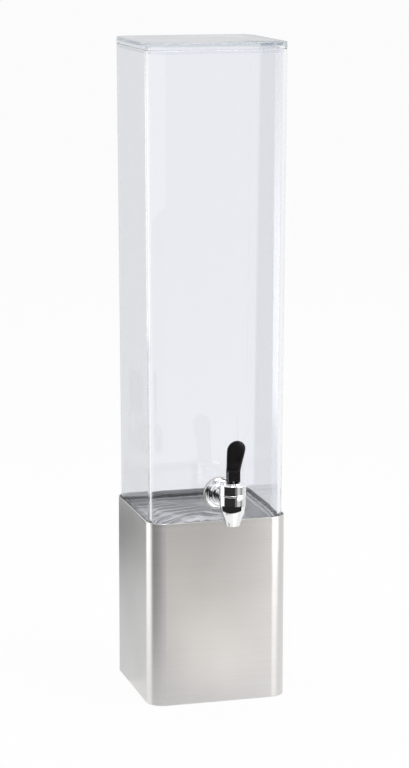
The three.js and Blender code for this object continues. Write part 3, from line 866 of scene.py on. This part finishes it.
block_front = cam_point(cam_open)[0]
block_outline = [(-block_back + block_edge, -cam_rest)]
block_outline += [cam_point(cam_open * i / cam_steps) for i in range(cam_steps + 1)]
block_outline += [
    (block_front, block_top - block_edge),
    (block_front - block_edge, block_top),
    (-block_back, block_top),
    (-block_back, -cam_rest + block_edge),
]
block_section = [(-forward, up) for forward, up in block_outline]
lever = prism("black_lever", block_section, -block_width / 2, block_width / 2, pin_place, axis="X")

paddle_rings = []
end_share = 1 - paddle_width / 2 / (paddle_top - paddle_root)
for step in range(paddle_levels):
    share = 1 - (1 - step / paddle_levels) ** crowding
    swell = smooth_share(share, end_share)
    past = max(0, (share - end_share) / (1 - end_share))
    close = math.sqrt(max(0, 1 - past * past))
    half_width = close * (paddle_root_width + (paddle_width - paddle_root_width) * swell) / 2
    half_depth = (paddle_root_depth + (paddle_depth - paddle_root_depth) * share)
    half_depth *= math.sqrt(close) / 2
    root_middle = block_front - paddle_inset - paddle_root_depth / 2
    forward = root_middle + paddle_lean * share * (1 + 0.5 * share * (1 - share))
    level = paddle_root + (paddle_top - paddle_root) * share
    ring = []
    for side in range(paddle_around):
        angle = side / paddle_around * math.tau
        x = math.copysign(abs(math.cos(angle)) ** (2 / paddle_power), math.cos(angle)) * half_width
        y = math.copysign(abs(math.sin(angle)) ** (2 / paddle_power), math.sin(angle)) * half_depth
        ring.append((x, pin_place.y - forward + y, pin_place.z + level))
    paddle_rings.append(ring)
paddle = made_mesh("lever_paddle", *swept_rings(paddle_rings, False))
joined_or_cut(lever, paddle, "UNION")
with_modifier(lever, "REMESH", mode="VOXEL", voxel_size=voxel)
with_modifier(lever, "SMOOTH", factor=0.5, iterations=4)
slot_half = stem_radius + eye_room
slot_tool = round_rod(
    "slot_tool", eye_radius + eye_room, -slot_half, slot_half, pin_place, axis="X", steps=48
)
rod_length = block_front + cam_rest
for step in range(sweep_steps + 1):
    angle = cam_open * step / sweep_steps
    across = (-slot_half * math.cos(angle), slot_half * math.sin(angle))
    down = (-rod_length * math.sin(angle), -rod_length * math.cos(angle))
    corners = [
        tuple(side * across[i] + reach * down[i] for i in (0, 1))
        for side, reach in ((-1, 0), (1, 0), (1, 1), (-1, 1))
    ]
    rod = prism("rod_room", corners, -slot_half, slot_half, pin_place, axis="X")
    joined_or_cut(slot_tool, rod, "UNION")
joined_or_cut(lever, slot_tool, "DIFFERENCE")
sharpened(drilled(lever, pin_hole_radius, -block_width / 2, block_width / 2, pin_place, "X", 32), 50)


def black_plastic():
    """Black moulded plastic: fine stipple, rubbed glossier in places."""
    colour = (0.008, 0.007, 0.0076)
    material, tree, shader = new_finish("black moulded plastic", colour, roughness=0.3)
    shader.inputs["Specular IOR Level"].default_value = 0.2
    stipple = noise_on(tree, scale=1400.0, detail=2.0)
    rubbed = noise_on(tree, scale=70.0)
    shaded(tree, shader, colour, spread_of(tree, rubbed, 0.8, 1.3))
    roughened(tree, shader, spread_of(tree, rubbed, 0.26, 0.36))
    bumped(tree, shader, stipple, strength=0.12, distance=0.03 * mm)
    return material


lever.data.materials.append(black_plastic())
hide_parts("handle")
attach(lever, "handle")

# Pin: a bright steel pin pressed through the lever and the stem's eye, with its ends rounded.
# It turns with the lever, and the eye turns freely on it.
pin_radius = 1.5 * mm
pin_edge = 0.4 * mm
pin_half = pin_high.x
pin_profile = [
    (0, -pin_half),
    *rounded((pin_radius, -pin_half), pin_edge, 270),
    *rounded((pin_radius, pin_half), pin_edge, 0),
    (0, pin_half),
]
pin = turned_round("lever_pin", pin_profile, pin_place, axis="X", steps=32)
pin.data.materials.append(bright_steel)
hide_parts("handle_pin")
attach(pin, "handle")

# Escutcheon: a chromed pressed dish that covers the hole in the tank, with a collar round the
# arm. A pale silicone washer behind it seals against the wall, and another one seals inside.
dish_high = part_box("escutcheon")[1]
shank_centre = Vector((0, 0, shank_level))
dish_radius = 20.4 * mm
dish_rim = 3 * mm
dish_edge = 0.6 * mm
dish_floor = 4 * mm
dish_hole = 8.4 * mm
rim_chamfer = 0.3 * mm
collar = 9 * mm
collar_inside = 10 * mm
collar_outside = 11.8 * mm
dish_width = dish_radius - collar_outside
dish_shares = [(0.14, 1.0), (0.3, 0.93), (0.52, 0.6), (0.78, 0.72), (0.95, 1.25), (1.0, 1.8)]


def smoothed(points, steps=5):
    """A curve through points, with each span eased into the next."""
    found = []
    for i in range(len(points) - 1):
        before = points[max(i - 1, 0)]
        after = points[min(i + 2, len(points) - 1)]
        here, there = points[i], points[i + 1]
        for step in range(steps):
            t = step / steps
            found.append(tuple(
                0.5 * (2 * b + (c - a) * t + (2 * a - 5 * b + 4 * c - d) * t * t
                       + (3 * b - a - 3 * c + d) * t ** 3)
                for a, b, c, d in zip(before, here, there, after)
            ))
    return [*found, points[-1]]


def out(distance):
    """The place along the shank that lies this far in front of the dish's back."""
    return dish_high.y - distance


dish_curve = smoothed([
    (dish_radius - dish_edge - rim_chamfer, out(dish_rim)),
    *[(dish_radius - dish_width * a, out(dish_rim * b)) for a, b in dish_shares],
])
dish_profile = [
    (dish_hole, out(0)),
    *rounded((dish_radius, out(0)), dish_edge, 90, turn=-90),
    *rounded((dish_radius, out(dish_rim)), dish_edge, 0, turn=-90),
    *dish_curve,
    (collar_outside, out(collar - dish_edge)),
    *rounded((collar_outside, out(collar)), dish_edge, 0, turn=-90)[1:],
    (collar_inside, out(collar)),
    (collar_inside, out(dish_floor)),
    (dish_hole, out(dish_floor)),
]
dish = turned_round("chrome_escutcheon", dish_profile, shank_centre, axis="Y", steps=96, closed=True)
dish.data.materials.append(polished_chrome)
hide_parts("escutcheon")
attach(dish, "tank")


def washer(name, node):
    """A moulded washer with its four edges rounded."""
    low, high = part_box(node)
    radius = high.x
    soft = (high.y - low.y) * 0.35
    profile = [
        *rounded((dish_hole, low.y), soft, 180),
        *rounded((radius, low.y), soft, 270),
        *rounded((radius, high.y), soft, 0),
        *rounded((dish_hole, high.y), soft, 90),
    ]
    piece = turned_round(name, profile, shank_centre, axis="Y", steps=96, closed=True)
    piece.data.materials.append(pale_silicone)
    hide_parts(node)
    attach(piece, "tank")


washer("outer_seal", "outer_washer")
washer("inner_seal", "inner_washer")

# Shank nut: a white nylon hexagon nut with a flange, moulded, tightened by hand on the shank
# inside the tank.
nut_start, nut_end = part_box("shank_nut")
shank_nut_across = 27 * mm
shank_nut_edge = 0.8 * mm
flange_radius = 15 * mm
flange_edge = 0.4 * mm
flange_end = nut_start.y + 1.8 * mm
nut_outline = hexagon(shank_nut_across)
shank_nut = prism("nylon_nut", nut_outline, nut_start.y, nut_end.y, shank_centre, axis="Y")
softened(shank_nut, shank_nut_edge, segments=3, angle=20)
flange_profile = [
    (0, nut_start.y),
    *rounded((flange_radius, nut_start.y), flange_edge, 270, 3),
    *rounded((flange_radius, flange_end), flange_edge, 0, 3),
    (0, flange_end),
]
flange = turned_round("nut_flange", flange_profile, shank_centre, axis="Y", steps=72)
joined_or_cut(shank_nut, flange, "UNION")
sharpened(drilled(shank_nut, dish_hole, nut_start.y, nut_end.y, shank_centre, "Y"))


def nylon():
    """White moulded nylon, a little cloudy, with a fine skin."""
    colour = (0.8, 0.8, 0.77)
    material, tree, shader = new_finish("white nylon", colour, roughness=0.4)
    shader.inputs["Subsurface Weight"].default_value = 0.15
    shader.inputs["Subsurface Radius"].default_value = (1.5 * mm, 1.4 * mm, 1.2 * mm)
    skin = noise_on(tree, scale=500.0)
    shaded(tree, shader, colour, spread_of(tree, skin, 0.95, 1.03))
    roughened(tree, shader, spread_of(tree, skin, 0.34, 0.48))
    bumped(tree, shader, skin, strength=0.1, distance=0.05 * mm)
    return material


shank_nut.data.materials.append(nylon())
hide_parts("shank_nut")
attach(shank_nut, "tank")

# Studio: a wide white floor under soft lamps, in a white surround. Cards that only reflections
# show stand round the set, as in a product shot: dark and grey ones in front and at the back on
# the left, grey ones low on the right, and soft bright ones at both sides and above.
floor_reach = 40
floor_glow_share = 0.93  # the rest shows the object's shadow
surround_light = 0.62
card_steps = 24
card_top = 0.85  # metres, as are all places and heights from here on
table = 0.001
rim_level = 0.2365
view_azimuth = -15.754


def seen_directly(tree):
    """1 where the camera, a reflection or a clear part looks at this, and 0 for plain light."""
    path = add_node(tree, "ShaderNodeLightPath").outputs
    either = worked_out(tree, "MAXIMUM", path["Is Camera Ray"], path["Is Glossy Ray"])
    return worked_out(tree, "MAXIMUM", either, path["Is Transmission Ray"])


def bare_material(name):
    """A material with no shader yet, its tree, and the socket that its surface goes to."""
    material = bpy.data.materials.new(name)
    material.use_nodes = True
    tree = material.node_tree
    tree.nodes.remove(tree.nodes["Principled BSDF"])
    return material, tree, tree.nodes["Material Output"].inputs["Surface"]


def floor_white():
    material, tree, surface = bare_material("floor white")
    matte = add_node(tree, "ShaderNodeBsdfDiffuse", {"Color": (0.88, 0.88, 0.88, 1)})
    glow = add_node(tree, "ShaderNodeEmission", {"Color": (1, 1, 1, 1), "Strength": 1.0})
    part = worked_out(tree, "MULTIPLY", seen_directly(tree), floor_glow_share)
    both = add_node(tree, "ShaderNodeMixShader", {0: part})
    tree.links.new(matte.outputs["BSDF"], both.inputs[1])
    tree.links.new(glow.outputs["Emission"], both.inputs[2])
    tree.links.new(both.outputs["Shader"], surface)
    return material


floor_points = [(x * floor_reach, y * floor_reach, 0) for x, y in ((-1, -1), (1, -1), (1, 1), (-1, 1))]
floor = made_mesh("studio_floor", floor_points, [(0, 1, 2, 3)])
floor.data.materials.append(floor_white())

world = bpy.data.worlds.new("studio")
bpy.context.scene.world = world
world.use_nodes = True
surround = world.node_tree.nodes["Background"]
surround_level = spread_of(
    world.node_tree, seen_directly(world.node_tree), surround_light, 1.0, from_low=0, from_high=1
)
surround.inputs["Color"].default_value = (1, 1, 1, 1)
world.node_tree.links.new(surround_level, surround.inputs["Strength"])


def eased_level(tree, low, high, start, end):
    """A value that goes smoothly from start to end as the height goes from low to high."""
    place = add_node(tree, "ShaderNodeTexCoord").outputs["Object"]
    height = add_node(tree, "ShaderNodeSeparateXYZ", {"Vector": place}).outputs["Z"]
    return spread_of(tree, height, start, end, low, high, interpolation_type="SMOOTHSTEP")


def glow_by_height(tree, shade, levels):
    """The surround's own white below and above the levels, and the full shade between the two inner."""
    rising = eased_level(tree, levels[0], levels[1], 0, shade - 1)
    falling = eased_level(tree, levels[2], levels[3], 1, 0)
    return worked_out(tree, "ADD", worked_out(tree, "MULTIPLY", rising, falling), 1.0)


def card(
    name, side, inner, outer, shade, bow=0.0, from_above_only=False, clear_too=False, warm=0.0,
    levels=None,
):
    """A curved card round the tap, seen only in reflections, from inner to outer (radius, height).

    Its two sides are azimuths from the camera's side, positive to the right. The bow is how much
    further out its inner edge lies at both sides. Warm tints it, and levels are the four heights
    between which a tall card's glow comes and goes.
    """
    points = []
    for i in range(card_steps + 1):
        share = i / card_steps
        angle = math.radians(view_azimuth + side[0] + (side[1] - side[0]) * share)
        bowed = (inner[0] + bow * (2 * share - 1) ** 2, inner[1])
        for radius, height in (bowed, outer):
            points.append((radius * math.sin(angle), tap_place.y - radius * math.cos(angle), height))
    faces = [(2 * i, 2 * i + 2, 2 * i + 3, 2 * i + 1) for i in range(card_steps)]
    made = made_mesh(name, points, faces)
    if made.data.polygons[0].normal.z < 0:
        made.data.flip_normals()
    material, tree, surface = bare_material(name)
    tint = (1 + warm, 1, 1 - warm, 1)
    if levels:
        shade = glow_by_height(tree, shade, levels)
    glow = add_node(tree, "ShaderNodeEmission", {"Color": tint, "Strength": shade}).outputs["Emission"]
    if from_above_only:
        below = add_node(tree, "ShaderNodeNewGeometry").outputs["Backfacing"]
        both = add_node(tree, "ShaderNodeMixShader", {0: below, 1: glow})
        through = add_node(tree, "ShaderNodeBsdfTransparent")
        tree.links.new(through.outputs["BSDF"], both.inputs[2])
        glow = both.outputs["Shader"]
    tree.links.new(glow, surface)
    made.data.materials.append(material)
    for ray in ("camera", "diffuse", "shadow", "volume_scatter"):
        setattr(made, "visible_" + ray, False)
    made.visible_transmission = clear_too


card("dark_front", (-78, 26), (1.0, 0.0), (1.0, 0.5), 0.03)
card("dark_apron", (-105, 82), (0.05, rim_level), (0.17, rim_level), 0.02, 0.025, True)
card("dark_table", (-78, 26), (0.45, table), (1.0, table), 0.25)
card("grey_table_near", (-78, -12), (0.28, table), (0.45, table), 0.5)
card("grey_table_left", (21, 32), (0.42, table), (0.7, table), 0.27, warm=0.04)
card("grey_front_left", (21, 32), (0.7, 0.0), (0.7, card_top), 0.21, warm=0.04)
card("grey_table_right", (32, 41), (0.42, table), (0.7, table), 0.33, warm=0.04)
card("grey_front_right", (32, 41), (0.7, 0.0), (0.7, card_top), 0.27, warm=0.04)
card("pale_low_right", (41, 68), (0.85, 0.02), (0.85, 0.165), 0.72)
card("grey_low_right", (68, 92), (0.85, 0.02), (0.85, 0.165), 0.38)
card("pale_far_right", (92, 140), (0.85, 0.02), (0.85, 0.165), 0.8)
card("bright_table", (10, 60), (0.05, 1.5 * table), (0.25, 1.5 * table), 1.75, warm=0.03)
card("pale_table", (10, 60), (0.25, 1.5 * table), (0.42, 1.5 * table), 1.15, warm=0.03)
card("grey_back_table", (-180, -132), (0.2, table), (0.98, table), 0.82, warm=-0.01)
card("dark_back_table", (-180, -132), (0.82, 2 * table), (1.06, 2 * table), 0.02)
card("dark_back", (-180, -132), (1.06, 0.0), (1.06, 0.04), 0.02)
card("grey_back", (-168, -132), (1.1, 0.0), (1.1, card_top), 0.6, warm=-0.01)
card("grey_back_clear", (-155, -142), (1.15, 0.0), (1.15, card_top), 0.6, clear_too=True, warm=-0.01)
card("grey_lid_back", (150, 210), (1.5, 0.86), (1.5, 1.3), 0.66, warm=-0.01)
card("soft_left", (-125, -87), (0.9, 0.0), (0.9, 0.3), 1.7)
card("soft_left_high", (-140, -92), (0.9, 0.3), (0.9, card_top), 3.0, levels=(0.3, 0.36, 0.7, card_top))
card("soft_right", (44, 91), (0.68, 0.18), (0.68, card_top), 5.0, levels=(0.18, 0.28, 0.42, card_top))
card("bright_above", (-30, 60), (0.25, 1.6), (0.6, 1.6), 10)


def lamp(name, place, width, height, power):
    """A soft rectangular lamp aimed at the middle of the tank, which no reflection shows."""
    data = bpy.data.lights.new(name, "AREA")
    data.shape = "RECTANGLE"
    data.size, data.size_y, data.energy = width, height, power
    made = placed(name, data)
    made.location = place
    made.rotation_euler = (lamp_aim - Vector(place)).to_track_quat("-Z", "Y").to_euler()
    made.visible_glossy = False
    made.visible_transmission = False


lamp_aim = Vector((0, 0, 0.4))
lamp("key", (1.7, -1.6, 1.9), 1.4, 1.4, 22)
lamp("fill", (-1.8, -0.6, 1.4), 1.4, 1.4, 10)
lamp("top", (0.2, 0.6, 2.6), 1.8, 1.8, 18)

# Camera: a little to the left of the front, looking a little down, with a long lens. Its place
# and turn were fitted to the outline of the object in the photograph.
view_down = math.radians(11.059)
view_roll = math.radians(0.088)
view_distance = 3.301455
aim_level = 0.40266
aim_right = 0.005397
turn_left = math.radians(-view_azimuth)
right = Vector((math.cos(turn_left), -math.sin(turn_left), 0))
back = Vector((
    -math.sin(turn_left) * math.cos(view_down),
    -math.cos(turn_left) * math.cos(view_down),
    math.sin(view_down),
))
up = back.cross(right)
image_right = right * math.cos(view_roll) + up * math.sin(view_roll)
image_up = up * math.cos(view_roll) - right * math.sin(view_roll)
aim = Vector((0, axis_y, aim_level)) + right * aim_right
camera_data = bpy.data.cameras.new("camera")
camera_data.sensor_width = 36
camera_data.lens = 119.1
camera_data.clip_end = 200
camera = placed("camera", camera_data)
rows = [*zip(image_right, image_up, back, aim + back * view_distance), (0, 0, 0, 1)]
camera.matrix_world = Matrix(rows)
bpy.context.scene.camera = camera
bpy.context.scene.view_settings.view_transform = "Standard"
for kind in ("max_bounces", "glossy_bounces", "transmission_bounces"):
    setattr(bpy.context.scene.cycles, kind, 128)  # light that runs along inside a clear wall gets out
